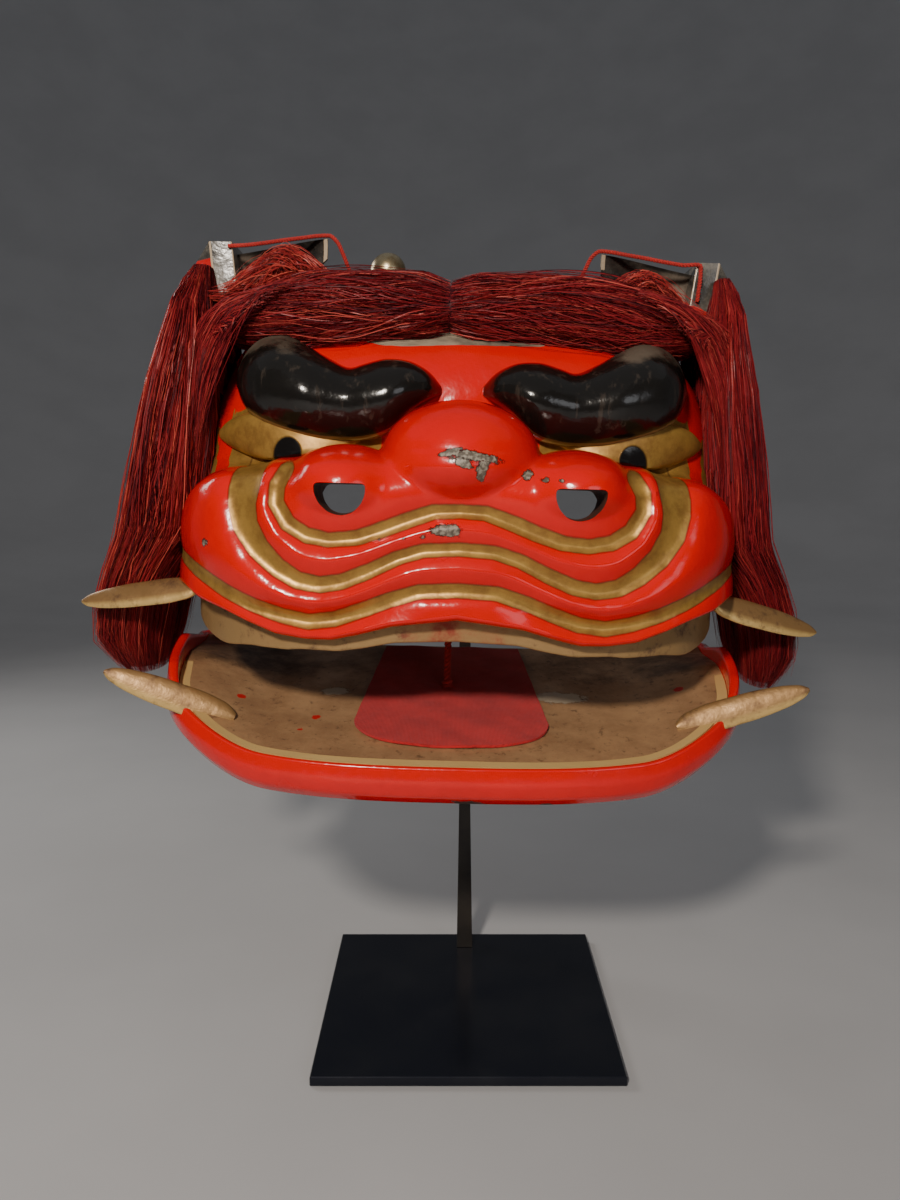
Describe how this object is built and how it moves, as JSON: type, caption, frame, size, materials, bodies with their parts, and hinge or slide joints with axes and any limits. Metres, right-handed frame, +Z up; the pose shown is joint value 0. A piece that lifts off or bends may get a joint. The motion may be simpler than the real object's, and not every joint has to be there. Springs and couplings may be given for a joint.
{
  "type": "lion dance head on a plain display stand of a square plate and a post",
  "caption": "Lion dance head of lacquered carved wood with a hinged jaw, bulging brows, a folded muzzle, tusks, ears and a mane, held up by a plain plate and post.",
  "frame": {"origin": "centre of the underside of the stand's plate, on the surface it stands on", "axes": "+Z up, the face looks along -Y, +X towards the right of someone who looks at the face"},
  "size_m": [0.4499, 0.32, 0.5314],
  "materials": {
    "red_lacquer": "glossy red lacquer over carved wood, chipped",
    "black_lacquer": "glossy black lacquer over carved wood, worn",
    "matte_gold": "dull gold paint over wood",
    "worn_gold": "worn brown-gold paint over wood",
    "ear_lacquer": "worn dark lacquer over wood",
    "worn_brass": "dull worn brass",
    "crimson_hair": "straight dark crimson fibres",
    "red_cloth": "flat red cloth",
    "red_cord": "twisted red cord",
    "bare_wood": "plain wood",
    "black_steel": "satin blue-black paint"
  },
  "bodies": {
    "head": {"head_shell": "red_lacquer", "brow_left": "black_lacquer", "brow_right": "black_lacquer", "eye_left": "matte_gold", "eye_right": "matte_gold", "ear_left": "ear_lacquer", "ear_right": "ear_lacquer", "crown_knob": "worn_brass", "hair_crown": "crimson_hair", "hair_left": "crimson_hair", "hair_right": "crimson_hair", "upper_gum": "matte_gold", "grip_bar": "bare_wood", "upper_tusk_left": "matte_gold", "upper_tusk_right": "matte_gold", "hinge_pin_left": "bare_wood", "hinge_pin_right": "bare_wood", "mouth_cord": "red_cord", "ear_cord_left": "red_cord", "ear_cord_right": "red_cord", "stand_plate": "black_steel", "stand_post": "black_steel"},
    "jaw": {"jaw_shell": "red_lacquer", "jaw_plate": "worn_gold", "tongue": "red_cloth", "lower_tusk_left": "matte_gold", "lower_tusk_right": "matte_gold"}
  },
  "joints": [
    {"name": "jaw_hinge", "type": "hinge", "parent": "head", "child": "jaw", "pos_m": [-0.00849, 0.1, 0.28803], "axis": [-0.9997, 0, 0.0262], "range_deg": [0, 9.5], "deforming": ["mouth_cord"]}
  ]
}
